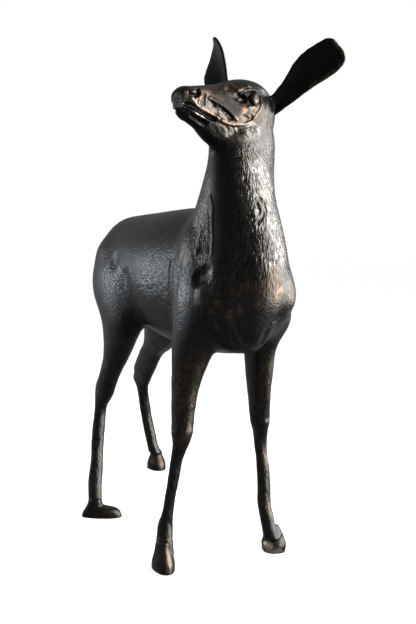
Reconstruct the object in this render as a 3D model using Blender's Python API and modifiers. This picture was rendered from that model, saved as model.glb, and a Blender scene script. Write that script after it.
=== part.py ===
"""A standing doe, cast in aluminium in one piece, life size.

It faces -Y with its right side at -X, its head turned to its right, and stands on z = 0. The animal is put
together as a sculptor would: oval masses for the trunk, neck, head and limbs, muscle and bone pressed on as
balls, all fused into one skin, and then the eyes, mouth and folds cut or raised as strokes on that skin.
"""

from math import copysign, cos, pi, radians, sin

import bmesh
import bpy
import numpy as np
from mathutils import Matrix, Vector

# ---- driving sizes, in metres, degrees where said ------------------------------------------------
MIDDLE = Vector((0.0088, -0.0208, 0.0))  # puts the middle of the doe's footprint box on the origin
RING_POINTS = 28  # points around each oval
ROW_STEPS = 5  # rings from one listed section to the next
LIMB_SQUARE = 2.1  # how square the sections of neck and legs are, 2 being an ellipse
HOOF_SQUARE = 2.6
SKIN_VOXEL = 0.0035  # grain of the fused skin
BLEND = 160  # rounds of smoothing that run the muscles of the trunk together
BLEND_FROM, BLEND_FULL = 0.42, 0.56  # heights over which that smoothing sets in, above the slender legs
BLEND_FADES, BLEND_ENDS = 0.97, 1.05  # and dies out again, below the head
EAR_LENGTH = 0.213
EAR_THICKNESS = 0.008
TRIANGLES = 9600  # what the finished skin is thinned to

# Trunk, rump to chest: place along Y, lowest and highest point, half width, how square the oval is
TRUNK = (
    (0.425, 0.620, 0.740, 0.040, 2.0),
    (0.412, 0.575, 0.777, 0.066, 2.1),
    (0.375, 0.545, 0.819, 0.094, 2.2),
    (0.300, 0.550, 0.857, 0.112, 2.2),
    (0.200, 0.562, 0.867, 0.117, 2.1),
    (0.090, 0.545, 0.873, 0.125, 2.1),
    (-0.030, 0.520, 0.880, 0.131, 2.1),
    (-0.150, 0.512, 0.884, 0.127, 2.2),
    (-0.260, 0.514, 0.882, 0.122, 2.2),
    (-0.340, 0.524, 0.862, 0.118, 2.2),
    (-0.400, 0.560, 0.825, 0.114, 2.3),
    (-0.440, 0.600, 0.785, 0.092, 2.2),
)

# Neck, chest to skull: height, middle across and along, half depth, half width, turn to the right in degrees
NECK = (
    (0.530, 0.000, -0.350, 0.060, 0.050, 0),
    (0.555, 0.000, -0.355, 0.088, 0.074, 0),
    (0.590, 0.000, -0.352, 0.112, 0.088, 0),
    (0.635, 0.000, -0.345, 0.134, 0.098, 0),
    (0.690, 0.000, -0.337, 0.149, 0.105, 0),
    (0.760, 0.000, -0.327, 0.158, 0.105, 0),
    (0.840, -0.007, -0.330, 0.150, 0.098, 5),
    (0.900, -0.014, -0.345, 0.130, 0.090, 15),
    (0.950, -0.012, -0.355, 0.114, 0.085, 32),
    (1.000, -0.007, -0.360, 0.102, 0.073, 55),
    (1.040, -0.006, -0.360, 0.094, 0.064, 70),
    (1.090, -0.004, -0.357, 0.080, 0.054, 74),
    (1.130, 0.004, -0.355, 0.064, 0.044, 74),
)

# Muscle and bone under the skin: middle, half sizes, turn in degrees
MUSCLES = {
    "withers": ((0.0, -0.150, 0.842), (0.060, 0.160, 0.040), (4, 0, 0)),
    "nape": ((0.0, -0.232, 0.888), (0.042, 0.044, 0.088), (35, 0, 0)),
    "left breast": ((0.056, -0.402, 0.672), (0.054, 0.070, 0.078), (0, 0, 0)),
    "right shoulder blade": ((-0.082, -0.285, 0.745), (0.046, 0.088, 0.125), (-12, 6, 0)),
    "left shoulder blade": ((0.082, -0.285, 0.745), (0.046, 0.088, 0.125), (-12, -6, 0)),
    "right point of shoulder": ((-0.080, -0.360, 0.655), (0.050, 0.066, 0.065), (0, 0, 0)),
    "left point of shoulder": ((0.078, -0.360, 0.655), (0.048, 0.066, 0.065), (0, 0, 0)),
    "right haunch": ((-0.068, 0.250, 0.705), (0.054, 0.135, 0.100), (18, 0, 0)),
    "left haunch": ((0.070, 0.265, 0.705), (0.054, 0.135, 0.100), (18, 0, 0)),
    "right stifle": ((-0.088, 0.090, 0.605), (0.040, 0.055, 0.075), (-10, 0, 0)),
    "left stifle": ((0.090, 0.150, 0.605), (0.040, 0.058, 0.075), (10, 0, 0)),
    "tail": ((0.0, 0.420, 0.712), (0.030, 0.022, 0.080), (-12, 0, 0)),
}

# Legs, shoulder or hip down to the pastern: height, middle across, front and back along Y, half width
FORE_RIGHT = (
    (0.760, -0.070, -0.370, -0.215, 0.0360),
    (0.680, -0.086, -0.395, -0.205, 0.0500),
    (0.600, -0.096, -0.395, -0.208, 0.0500),
    (0.530, -0.100, -0.345, -0.222, 0.0500),
    (0.460, -0.116, -0.328, -0.232, 0.0340),
    (0.405, -0.125, -0.322, -0.244, 0.0280),
    (0.355, -0.132, -0.322, -0.258, 0.0255),
    (0.330, -0.137, -0.325, -0.268, 0.0260),
    (0.302, -0.142, -0.319, -0.278, 0.0200),
    (0.262, -0.150, -0.305, -0.276, 0.0148),
    (0.210, -0.159, -0.303, -0.276, 0.0141),
    (0.160, -0.169, -0.302, -0.275, 0.0133),
    (0.125, -0.175, -0.304, -0.274, 0.0145),
    (0.098, -0.180, -0.307, -0.266, 0.0185),
    (0.065, -0.186, -0.320, -0.270, 0.0195),
    (0.035, -0.190, -0.335, -0.270, 0.0215),
)
FORE_LEFT = (
    (0.760, 0.070, -0.370, -0.215, 0.0360),
    (0.680, 0.086, -0.395, -0.205, 0.0500),
    (0.600, 0.097, -0.395, -0.208, 0.0540),
    (0.530, 0.097, -0.340, -0.222, 0.0380),
    (0.460, 0.097, -0.326, -0.230, 0.0300),
    (0.400, 0.098, -0.316, -0.238, 0.0250),
    (0.345, 0.100, -0.308, -0.246, 0.0240),
    (0.328, 0.100, -0.309, -0.250, 0.0230),
    (0.300, 0.100, -0.301, -0.258, 0.0180),
    (0.262, 0.100, -0.298, -0.266, 0.0160),
    (0.220, 0.101, -0.306, -0.274, 0.0160),
    (0.175, 0.101, -0.313, -0.280, 0.0170),
    (0.125, 0.099, -0.320, -0.284, 0.0165),
    (0.090, 0.099, -0.334, -0.292, 0.0170),
    (0.060, 0.100, -0.346, -0.302, 0.0175),
    (0.035, 0.106, -0.362, -0.310, 0.0240),
)
HIND_RIGHT = (
    (0.800, -0.0500, 0.140, 0.330, 0.0400),
    (0.720, -0.0700, 0.070, 0.375, 0.0560),
    (0.640, -0.0830, 0.045, 0.360, 0.0580),
    (0.560, -0.0960, 0.050, 0.268, 0.0480),
    (0.505, -0.1040, 0.080, 0.240, 0.0380),
    (0.445, -0.1125, 0.124, 0.229, 0.0318),
    (0.398, -0.1235, 0.150, 0.234, 0.0263),
    (0.368, -0.1285, 0.163, 0.252, 0.0253),
    (0.345, -0.1325, 0.171, 0.252, 0.0238),
    (0.320, -0.1365, 0.190, 0.246, 0.0203),
    (0.298, -0.1395, 0.208, 0.242, 0.0173),
    (0.260, -0.1455, 0.205, 0.238, 0.0178),
    (0.200, -0.1555, 0.194, 0.230, 0.0186),
    (0.147, -0.1655, 0.178, 0.212, 0.0184),
    (0.091, -0.1795, 0.156, 0.196, 0.0203),
    (0.050, -0.1900, 0.132, 0.174, 0.0195),
    (0.015, -0.1930, 0.128, 0.168, 0.0200),
)
HIND_LEFT = (
    (0.800, 0.050, 0.140, 0.330, 0.0400),
    (0.720, 0.072, 0.110, 0.385, 0.0560),
    (0.640, 0.084, 0.130, 0.400, 0.0560),
    (0.560, 0.096, 0.160, 0.400, 0.0480),
    (0.505, 0.106, 0.195, 0.412, 0.0420),
    (0.455, 0.116, 0.272, 0.438, 0.0380),
    (0.420, 0.118, 0.350, 0.475, 0.0310),
    (0.388, 0.122, 0.388, 0.516, 0.0260),
    (0.355, 0.128, 0.427, 0.554, 0.0240),
    (0.335, 0.131, 0.450, 0.562, 0.0230),
    (0.308, 0.135, 0.480, 0.580, 0.0200),
    (0.283, 0.139, 0.507, 0.560, 0.0170),
    (0.237, 0.146, 0.518, 0.553, 0.0173),
    (0.165, 0.158, 0.518, 0.554, 0.0183),
    (0.095, 0.170, 0.506, 0.550, 0.0178),
    (0.055, 0.176, 0.488, 0.540, 0.0200),
)

# Hooves: height, toe and heel from the middle of the sole, half width
FORE_RIGHT_HOOF = (
    (-0.006, 0.046, 0.032, 0.026),
    (0.000, 0.046, 0.032, 0.026),
    (0.018, 0.042, 0.034, 0.026),
    (0.045, 0.026, 0.028, 0.019),
    (0.070, 0.018, 0.022, 0.016),
)
FORE_LEFT_HOOF = (
    (-0.006, 0.037, 0.028, 0.029),
    (0.000, 0.037, 0.028, 0.029),
    (0.018, 0.037, 0.031, 0.032),
    (0.040, 0.026, 0.022, 0.025),
    (0.065, 0.014, 0.010, 0.012),
)
HIND_RIGHT_HOOF = (
    (-0.006, 0.060, 0.058, 0.028),
    (0.000, 0.060, 0.058, 0.028),
    (0.014, 0.056, 0.054, 0.027),
    (0.024, 0.044, 0.047, 0.024),
    (0.029, 0.004, 0.044, 0.021),
    (0.050, 0.000, 0.034, 0.018),
)
HIND_LEFT_HOOF = (
    (-0.006, 0.040, 0.038, 0.029),
    (0.000, 0.040, 0.038, 0.029),
    (0.020, 0.036, 0.036, 0.029),
    (0.042, 0.018, 0.028, 0.021),
    (0.060, 0.012, 0.022, 0.018),
)

# Hooves: middle of the sole, turn of the toe from straight ahead in degrees, taper of the toe, sections
HOOVES = {
    "fore right hoof": (-0.196, -0.312, -15, 0.36, FORE_RIGHT_HOOF),
    "fore left hoof": (0.112, -0.330, -20, 0.08, FORE_LEFT_HOOF),
    "hind right hoof": (-0.178, 0.133, 54, 0.10, HIND_RIGHT_HOOF),
    "hind left hoof": (0.181, 0.508, -8, 0.20, HIND_LEFT_HOOF),
}

# Head: its own axes run from the poll to the nose, to its left, and up
POLL = Vector((0.062, -0.343, 1.115))
HEAD_TURN = 74  # degrees to the doe's right of straight ahead
HEAD = (
    (-0.018, -0.060, 0.015, 0.020, 2.0),
    (-0.006, -0.080, 0.034, 0.034, 2.0),
    (0.015, -0.092, 0.049, 0.046, 2.1),
    (0.045, -0.098, 0.062, 0.056, 2.1),
    (0.085, -0.100, 0.065, 0.059, 2.1),
    (0.125, -0.100, 0.058, 0.053, 2.1),
    (0.165, -0.101, 0.046, 0.043, 2.1),
    (0.193, -0.089, 0.041, 0.036, 2.1),
    (0.222, -0.064, 0.037, 0.031, 2.2),
    (0.250, -0.049, 0.033, 0.029, 2.3),
    (0.270, -0.042, 0.031, 0.026, 2.3),
    (0.286, -0.026, 0.022, 0.020, 2.2),
)
HEAD_FRAME = Matrix.Translation(POLL) @ Matrix.Rotation(-radians(90 + HEAD_TURN), 4, "Z")

# An ear: place along it as a share of its length, reach of its upper and lower edge, curl in degrees
EAR = (
    (-0.10, 0.018, 0.018, 120),
    (0.06, 0.018, 0.021, 110),
    (0.20, 0.023, 0.025, 95),
    (0.34, 0.033, 0.026, 78),
    (0.50, 0.045, 0.029, 62),
    (0.66, 0.049, 0.034, 50),
    (0.80, 0.045, 0.037, 40),
    (0.91, 0.037, 0.033, 32),
    (0.975, 0.026, 0.022, 25),
    (1.00, 0.012, 0.009, 20),
)

# Ears in the head's axes: root, direction, way the hollow faces, twist from root to tip in degrees
EARS = {
    "left ear": ((0.020, 0.044, 0.003), (-0.250, 0.780, 0.585), (1, 1, 0), 0),
    "right ear": ((0.086, -0.054, 0.004), (-0.320, -0.480, 0.850), (1, 0.5, 0), -66),
}

# Strokes pressed into the skin (negative depth) or raised from it: a line of places, a radius, a depth.
# Those of the face are in the head's own axes for its left side, and are mirrored to the right.
FACE_STROKES = {
    "eye socket": (((0.112, 0.052, 0.014), (0.096, 0.056, 0.013)), 0.026, -0.0080),
    "eyeball": (((0.092, 0.056, 0.012),), 0.0165, 0.0130),
    "upper lid": (
        ((0.140, 0.044, 0.016), (0.124, 0.046, 0.033), (0.100, 0.048, 0.043), (0.078, 0.052, 0.037)),
        0.009,
        0.0050,
    ),
    "rear lid": (((0.078, 0.052, 0.037), (0.069, 0.058, 0.020), (0.074, 0.060, 0.000)), 0.008, 0.0040),
    "ridge below the muzzle": (
        ((0.228, 0.030, 0.008), (0.182, 0.039, -0.004), (0.160, 0.044, -0.019), (0.139, 0.047, -0.038)),
        0.009,
        0.0040,
    ),
    "upper lip": (
        ((0.264, 0.027, 0.000), (0.240, 0.027, -0.020), (0.198, 0.032, -0.035), (0.153, 0.042, -0.046)),
        0.009,
        0.0045,
    ),
    "cheek": (
        ((0.153, 0.042, -0.046), (0.120, 0.050, -0.043), (0.090, 0.057, -0.026), (0.068, 0.058, -0.002)),
        0.009,
        0.0040,
    ),
    "mouth": (((0.278, 0.021, -0.019), (0.240, 0.025, -0.031), (0.196, 0.031, -0.041)), 0.007, -0.0060),
    "nostril": (((0.266, 0.026, 0.013), (0.252, 0.027, 0.018)), 0.008, -0.0060),
    "hollow before the brow": (((0.160, 0.030, 0.034), (0.140, 0.040, 0.030)), 0.016, -0.0040),
}
BODY_STROKES = {
    "step behind the right arm": (
        ((-0.124, -0.205, 0.725), (-0.132, -0.212, 0.655), (-0.138, -0.226, 0.595), (-0.140, -0.232, 0.550)),
        0.024,
        -0.0060,
    ),
    "groove between neck and shoulder": (
        ((-0.104, -0.300, 0.830), (-0.114, -0.270, 0.780), (-0.122, -0.250, 0.740)),
        0.022,
        -0.0045,
    ),
    "nape runs into the back": (((-0.070, -0.262, 0.886), (-0.098, -0.305, 0.884)), 0.034, -0.0100),
    "hollow above the right point of the shoulder": (((-0.118, -0.374, 0.721),), 0.030, -0.0065),
    "fold under the breast": (
        ((0.075, -0.446, 0.622), (0.036, -0.462, 0.616), (0.004, -0.466, 0.606), (-0.004, -0.440, 0.562)),
        0.020,
        -0.0070,
    ),
    "left arm set back under the breast": (((0.055, -0.430, 0.580),), 0.045, -0.0110),
    "dimple on the haunch": (((-0.118, 0.155, 0.733),), 0.034, -0.0050),
    "fold of the flank": (
        ((-0.122, 0.062, 0.720), (-0.126, 0.022, 0.650), (-0.112, -0.006, 0.592)),
        0.026,
        -0.0065,
    ),
}


def smooth_rows(rows, steps):
    """The listed rows with steps - 1 more between each pair, on a Catmull-Rom curve through all of them."""
    table = np.array(rows, float)
    padded = np.vstack([2 * table[0] - table[1], table, 2 * table[-1] - table[-2]])
    out = []
    for i in range(len(table) - 1):
        a, b, c, d = padded[i : i + 4]
        for k in range(steps):
            t = k / steps
            bend = (2 * a - 5 * b + 4 * c - d) * t**2 + (3 * b - a - 3 * c + d) * t**3
            out.append(b + 0.5 * ((c - a) * t + bend))
    out.append(table[-1])
    return out


def oval(square):
    """Points around a unit oval: a circle at 2, with flatter sides above that."""
    points = []
    for k in range(RING_POINTS):
        angle = 2 * pi * k / RING_POINTS
        c, s = cos(angle), sin(angle)
        points.append((copysign(abs(c) ** (2 / square), c), copysign(abs(s) ** (2 / square), s)))
    return points


def skin_over(name, rings):
    """A closed tube over rings of points, one skin from the first ring to the last."""
    mesh = bpy.data.meshes.new(name)
    bm = bmesh.new()
    loops = [[bm.verts.new(p) for p in ring] for ring in rings]
    for low, high in zip(loops, loops[1:]):
        for k in range(len(low)):
            n = (k + 1) % len(low)
            bm.faces.new((low[k], low[n], high[n], high[k]))
    bm.faces.new(loops[0])
    bm.faces.new(loops[-1])
    bmesh.ops.recalc_face_normals(bm, faces=bm.faces)
    bm.to_mesh(mesh)
    bm.free()
    obj = bpy.data.objects.new(name, mesh)
    bpy.context.scene.collection.objects.link(obj)
    return obj


def trunk():
    """Sections across Y, a little narrower along the back than at the belly."""
    narrow = 0.12
    rings = []
    for y, low, high, half, square in smooth_rows(TRUNK, ROW_STEPS):
        mid, tall = (low + high) / 2, (high - low) / 2
        rings.append([Vector((half * c * (1 - narrow * s), y, mid + tall * s)) for c, s in oval(square)])
    return skin_over("trunk", rings)


def neck():
    """Level sections, turned more and more to the right on the way up."""
    rings = []
    for z, mid_x, mid_y, deep, half, turn in smooth_rows(NECK, ROW_STEPS):
        spin = Matrix.Rotation(-radians(turn), 3, "Z")
        centre = Vector((mid_x, mid_y, z))
        rings.append([centre + spin @ Vector((half * c, deep * s, 0)) for c, s in oval(LIMB_SQUARE)])
    return skin_over("neck", rings)


def leg(name, sections):
    """Level sections from the body down to the pastern."""
    rings = []
    for z, x, front, back, half in smooth_rows(sections, ROW_STEPS):
        mid, deep = (front + back) / 2, (back - front) / 2
        rings.append([Vector((x + half * c, mid + deep * s, z)) for c, s in oval(LIMB_SQUARE)])
    return skin_over(name, rings)


def head():
    """Sections across the head's own X axis, wider at the brow than at the jaw."""
    widen = 0.18
    rings = []
    for x, low, high, half, square in smooth_rows(HEAD, ROW_STEPS):
        mid, tall = (low + high) / 2, (high - low) / 2
        section = [Vector((x, half * c * (1 + widen * s), mid + tall * s)) for c, s in oval(square)]
        rings.append([HEAD_FRAME @ point for point in section])
    return skin_over("head", rings)


def ball(name, centre, radii, turn=(0, 0, 0)):
    """An oval lump of muscle or bone."""
    bpy.ops.mesh.primitive_uv_sphere_add(segments=24, ring_count=14, radius=1, location=centre)
    obj = bpy.context.object
    obj.name = name
    obj.scale = radii
    obj.rotation_euler = [radians(a) for a in turn]
    return obj


def ear(name, root, along, facing, twist):
    """A cupped leaf, its hollow towards facing at the root and turned away by the twist at the tip."""
    turned = HEAD_FRAME.to_3x3()
    base = HEAD_FRAME @ Vector(root)
    along = (turned @ Vector(along)).normalized()
    facing = turned @ Vector(facing)
    facing = (facing - facing.dot(along) * along).normalized()
    across = 12
    bm = bmesh.new()
    grid = []
    for t, upper, lower, curl in smooth_rows(EAR, 3):
        half, shift = (upper + lower) / 2, (upper - lower) / 2
        roll = radians(curl) / 2 + 0.2
        out = Matrix.Rotation(radians(twist * t * t), 3, along) @ facing
        side = out.cross(along)
        row = []
        for j in range(across + 1):
            a = (2 * j / across - 1) * roll
            radius = half / sin(min(roll, pi / 2))
            place = base + along * (EAR_LENGTH * t) + side * (shift + radius * sin(a))
            row.append(bm.verts.new(place - out * radius * (cos(a) - cos(roll))))
        grid.append(row)
    for low, high in zip(grid, grid[1:]):
        for j in range(across):
            bm.faces.new((low[j], low[j + 1], high[j + 1], high[j]))
    mesh = bpy.data.meshes.new(name)
    bm.to_mesh(mesh)
    bm.free()
    obj = bpy.data.objects.new(name, mesh)
    bpy.context.scene.collection.objects.link(obj)
    thick = obj.modifiers.new("thick", "SOLIDIFY")
    thick.thickness = EAR_THICKNESS
    thick.offset = 0
    return obj


def hoof(name, x, y, turn, taper, rows):
    """A hoof from its sole up, narrowed towards the toe by the taper."""
    spin = Matrix.Rotation(radians(turn), 3, "Z")
    rings = []
    for z, toe, heel, half in rows:
        mid, deep = (heel - toe) / 2, (heel + toe) / 2
        ring = []
        for c, s in oval(HOOF_SQUARE):
            ring.append(Vector((x, y, z)) + spin @ Vector((half * c * (1 + taper * s), mid + deep * s, 0)))
        rings.append(ring)
    return skin_over(name, rings)


def press(verts, normals, places, radius, depth):
    """Move the skin near a line of places along its own normals, most on the line, none past the radius."""
    places = [np.array(p) for p in places]
    near = np.full(len(verts), np.inf)
    for a, b in zip(places, places[1:] or places):
        along = b - a
        share = np.clip((verts - a) @ along / max(along @ along, 1e-12), 0, 1)
        near = np.minimum(near, np.linalg.norm(verts - a - share[:, None] * along, axis=1))
    amount = depth * np.clip(1 - (near / radius) ** 2, 0, 1) ** 1.5
    verts += amount[:, None] * normals


def carve(doe):
    """All the strokes, face first."""
    mesh = doe.data
    count = len(mesh.vertices)
    verts, normals = np.empty(count * 3), np.empty(count * 3)
    mesh.vertices.foreach_get("co", verts)
    mesh.vertices.foreach_get("normal", normals)
    verts, normals = verts.reshape(-1, 3), normals.reshape(-1, 3)
    turned = HEAD_FRAME.to_3x3()
    for line, radius, depth in FACE_STROKES.values():
        for side in (1, -1):
            places = [POLL + turned @ Vector((x, y * side, z)) for x, y, z in line]
            press(verts, normals, places, radius, depth)
    for line, radius, depth in BODY_STROKES.values():
        press(verts, normals, line, radius, depth)
    mesh.vertices.foreach_set("co", verts.ravel())
    mesh.update()


def fused(pieces):
    """All the pieces as one skin, run together softly over the trunk, crisper on head and lower legs."""
    bpy.ops.object.select_all(action="DESELECT")
    for piece in pieces:
        piece.select_set(True)
    bpy.context.view_layer.objects.active = pieces[0]
    bpy.ops.object.convert(target="MESH")
    bpy.ops.object.join()
    bpy.ops.object.transform_apply(location=True, rotation=True, scale=True)
    doe = bpy.context.object
    remesh = doe.modifiers.new("one skin", "REMESH")
    remesh.mode = "VOXEL"
    remesh.voxel_size = SKIN_VOXEL
    bpy.ops.object.modifier_apply(modifier=remesh.name)
    soft = doe.vertex_groups.new(name="soft")
    for vert in doe.data.vertices:
        sets_in = (vert.co.z - BLEND_FROM) / (BLEND_FULL - BLEND_FROM)
        dies_out = (BLEND_ENDS - vert.co.z) / (BLEND_ENDS - BLEND_FADES)
        soft.add([vert.index], max(0, min(1, sets_in, dies_out)), "REPLACE")
    blend = doe.modifiers.new("muscles run together", "SMOOTH")
    blend.factor = 0.7
    blend.iterations = BLEND
    blend.vertex_group = "soft"
    soften = doe.modifiers.new("soften", "SMOOTH")
    soften.factor = 0.5
    soften.iterations = 4
    bpy.ops.object.modifier_apply(modifier=blend.name)
    bpy.ops.object.modifier_apply(modifier=soften.name)
    carve(doe)
    return doe


def level_soles(doe):
    """Thin the skin to its triangle count and cut the four hooves off flat at the ground."""
    faces = sum(len(polygon.vertices) - 2 for polygon in doe.data.polygons)
    thin = doe.modifiers.new("fewer faces", "DECIMATE")
    thin.ratio = TRIANGLES / faces
    bpy.ops.mesh.primitive_cube_add(size=1, location=(0, 0, -0.05))
    ground = bpy.context.object
    ground.name = "ground"
    ground.scale = (1, 2, 0.1)
    ground.display_type = "WIRE"
    ground.hide_render = True
    cut = doe.modifiers.new("flat soles", "BOOLEAN")
    cut.operation = "DIFFERENCE"
    cut.solver = "EXACT"
    cut.object = ground
    return ground


def cast_aluminium():
    """Dark brown-black patina over aluminium."""
    material = bpy.data.materials.new("patinated aluminium")
    material.use_nodes = True
    shader = material.node_tree.nodes["Principled BSDF"]
    shader.inputs["Base Color"].default_value = (0.030, 0.026, 0.023, 1)
    shader.inputs["Metallic"].default_value = 1.0
    shader.inputs["Roughness"].default_value = 0.35
    return material


def main():
    for obj in list(bpy.data.objects):
        bpy.data.objects.remove(obj)
    pieces = [trunk(), neck(), head()]
    pieces += [leg("fore right", FORE_RIGHT), leg("fore left", FORE_LEFT)]
    pieces += [leg("hind right", HIND_RIGHT), leg("hind left", HIND_LEFT)]
    pieces += [ball(name, *lump) for name, lump in MUSCLES.items()]
    pieces += [hoof(name, *stand) for name, stand in HOOVES.items()]
    pieces += [ear(name, *set_on) for name, set_on in EARS.items()]
    doe = fused(pieces)
    ground = level_soles(doe)
    doe.location = MIDDLE
    ground.location.x, ground.location.y = MIDDLE.x, MIDDLE.y
    doe.name = doe.data.name = "doe"
    doe.data.materials.clear()
    doe.data.materials.append(cast_aluminium())
    for name, members in (("doe", [doe]), ("cutters", [ground])):
        home = bpy.data.collections.new(name)
        bpy.context.scene.collection.children.link(home)
        for member in members:
            for old in list(member.users_collection):
                old.objects.unlink(member)
            home.objects.link(member)


main()
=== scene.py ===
"""Looks of the life-size aluminium doe: one cast skin with its carved hair, and the light it stands in.

The skin is put together from the same masses as the solid, at a finer grain, then carved and given its
hair and hammer marks. The doe faces -Y with its right side at -X and stands on z = 0.
"""

from math import ceil, copysign, cos, pi, radians, sin

import bmesh
import bpy
import numpy as np
from mathutils import Matrix, Vector
from mathutils.kdtree import KDTree


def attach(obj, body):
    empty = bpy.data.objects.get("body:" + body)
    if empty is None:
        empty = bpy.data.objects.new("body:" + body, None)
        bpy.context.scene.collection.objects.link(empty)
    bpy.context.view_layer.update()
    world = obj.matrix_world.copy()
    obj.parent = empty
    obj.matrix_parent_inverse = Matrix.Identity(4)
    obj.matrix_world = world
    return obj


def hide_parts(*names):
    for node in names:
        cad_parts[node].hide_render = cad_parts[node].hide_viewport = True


# ---- driving sizes, in metres and degrees where nothing else is said -----------------------------
MIDDLE = Vector((0.0088, -0.0208, 0.0))  # puts the middle of the doe's footprint box on the origin
RING_POINTS = 40  # points around each oval
ROW_STEPS = 8  # rings from one listed section to the next
LIMB_SQUARE = 2.1  # how square the sections of neck and legs are, 2 being an ellipse
HOOF_SQUARE = 2.6
SKIN_VOXEL = 0.0025  # grain of the fused skin
BLEND = 310  # rounds of smoothing that run the muscles of the trunk together
BLEND_FROM, BLEND_FULL = 0.42, 0.56  # heights over which that smoothing sets in, above the slender legs
BLEND_FADES, BLEND_ENDS = 0.97, 1.05  # and dies out again, below the head
SOFTEN = 8  # rounds over the whole skin
HOOF_ROUNDS, EAR_ROUNDS, FACE_ROUNDS = 16, 34, 5  # rounds that calm only those
EAR_LENGTH = 0.213
EAR_THICKNESS = 0.008
EAR_STEPS = 4  # rows from one listed place of an ear to the next
EAR_ACROSS = 16  # faces from its lower to its upper edge
EAR_MIDDLE = 4 * EAR_STEPS  # the row that is halfway to its tip
SOLE_BELOW = 0.006  # how far the hooves reach under the ground before they are cut level
TRIANGLES = 192000  # what the finished skin is thinned to

CAMERA_PLACE = Vector((-1.1345, -2.2268, 0.85)) + MIDDLE
CAMERA_AZIMUTH, CAMERA_DIP = -29.0, 5.8366
CAMERA_LENS, CAMERA_SENSOR = 51.92, 36.0  # millimetres
CHEST = Vector((0, -0.2, 0.75))  # what the lights are aimed at
ROOM_GLOW = 0.33  # light from all around
FLOOR_SIZE, FLOOR_DROP, FLOOR_GLOW = 30, 0.0005, 0.88

# Lights, placed from the chest: to the camera's right, away from it, up; then size, power, colour
LIGHTS = (
    ("right window", 2.0, -0.15, 0.50, (2.9, 2.6), 370, (1.0, 0.993, 0.98)),
    ("left window", -2.0, 1.15, 0.20, (0.24, 0.50), 8.0, (0.88, 0.94, 1.0)),
    ("left slit", -2.2, 0.50, 0.20, (0.16, 1.0), 3.2, (0.88, 0.94, 1.0)),
    ("left fill", -2.1, 1.4, 0.30, (2.2, 1.8), 0.6, (0.93, 0.97, 1.0)),
)

# Colours of the cast skin, as its reflectance face on
COOL_PATINA = (0.0215, 0.0220, 0.0228)
WARM_PATINA = (0.0330, 0.0275, 0.0215)
BRONZE = (0.170, 0.100, 0.062)
BARE_METAL = (0.150, 0.146, 0.141)
RUBBED = (0.60, 0.48, 0.37)
# soot, also laid as painted shade in hollows, creases and under parts
SOOT_AND_SHADE = (0.010, 0.0098, 0.0096)
ROUGHNESS = (0.35, 0.58)  # most and least polished
GRAIN_POLISH = 0.38  # what that is multiplied by where the grain is full
BUMP_DEPTH = 0.0030
FINE_HAIR = (((1.0, 1.0, 0.30), 230.0), ((1.0, 0.6, 1.0), 190.0))  # upright, pebbly: stretch and fineness

# Trunk, rump to chest: place along Y, lowest and highest point, half width, how square the oval is
TRUNK = (
    (0.425, 0.620, 0.740, 0.040, 2.0),
    (0.412, 0.575, 0.777, 0.066, 2.1),
    (0.375, 0.545, 0.819, 0.094, 2.2),
    (0.300, 0.550, 0.857, 0.112, 2.2),
    (0.200, 0.562, 0.867, 0.117, 2.1),
    (0.090, 0.545, 0.873, 0.125, 2.1),
    (-0.030, 0.520, 0.880, 0.131, 2.1),
    (-0.150, 0.512, 0.884, 0.127, 2.2),
    (-0.260, 0.514, 0.882, 0.122, 2.2),
    (-0.340, 0.524, 0.862, 0.118, 2.2),
    (-0.400, 0.560, 0.825, 0.114, 2.3),
    (-0.440, 0.600, 0.785, 0.092, 2.2),
)

# Neck, chest to skull: height, middle across and along, half depth, half width, turn to the right in degrees
NECK = (
    (0.530, -0.016, -0.350, 0.060, 0.044, 0),
    (0.555, -0.017, -0.355, 0.088, 0.060, 0),
    (0.590, -0.015, -0.352, 0.112, 0.074, 0),
    (0.635, -0.008, -0.345, 0.134, 0.091, 0),
    (0.690, 0.000, -0.337, 0.149, 0.105, 0),
    (0.760, 0.000, -0.327, 0.158, 0.105, 0),
    (0.840, -0.007, -0.330, 0.150, 0.098, 5),
    (0.900, -0.014, -0.345, 0.130, 0.090, 15),
    (0.950, -0.012, -0.355, 0.114, 0.085, 32),
    (1.000, -0.007, -0.360, 0.102, 0.073, 55),
    (1.040, -0.006, -0.360, 0.094, 0.064, 70),
    (1.090, -0.004, -0.357, 0.080, 0.054, 74),
    (1.130, 0.004, -0.355, 0.064, 0.044, 74),
)

# Muscle and bone under the skin, and the tail: middle, half sizes, turn in degrees
MUSCLES = {
    "withers": ((0.0, -0.150, 0.842), (0.060, 0.160, 0.040), (4, 0, 0)),
    "nape": ((0.0, -0.232, 0.888), (0.042, 0.044, 0.088), (35, 0, 0)),
    "left breast": ((0.056, -0.402, 0.672), (0.054, 0.070, 0.078), (0, 0, 0)),
    "right shoulder blade": ((-0.082, -0.285, 0.745), (0.046, 0.088, 0.125), (-12, 6, 0)),
    "left shoulder blade": ((0.082, -0.285, 0.745), (0.046, 0.088, 0.125), (-12, -6, 0)),
    "right point of shoulder": ((-0.080, -0.360, 0.655), (0.050, 0.066, 0.065), (0, 0, 0)),
    "left point of shoulder": ((0.078, -0.360, 0.655), (0.048, 0.066, 0.065), (0, 0, 0)),
    "right haunch": ((-0.068, 0.250, 0.705), (0.054, 0.135, 0.100), (18, 0, 0)),
    "left haunch": ((0.070, 0.265, 0.705), (0.054, 0.135, 0.100), (18, 0, 0)),
    "right stifle": ((-0.088, 0.090, 0.605), (0.040, 0.055, 0.075), (-10, 0, 0)),
    "left stifle": ((0.090, 0.150, 0.605), (0.040, 0.058, 0.075), (10, 0, 0)),
    "tail": ((0.0, 0.420, 0.712), (0.030, 0.022, 0.080), (-12, 0, 0)),
}

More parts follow.
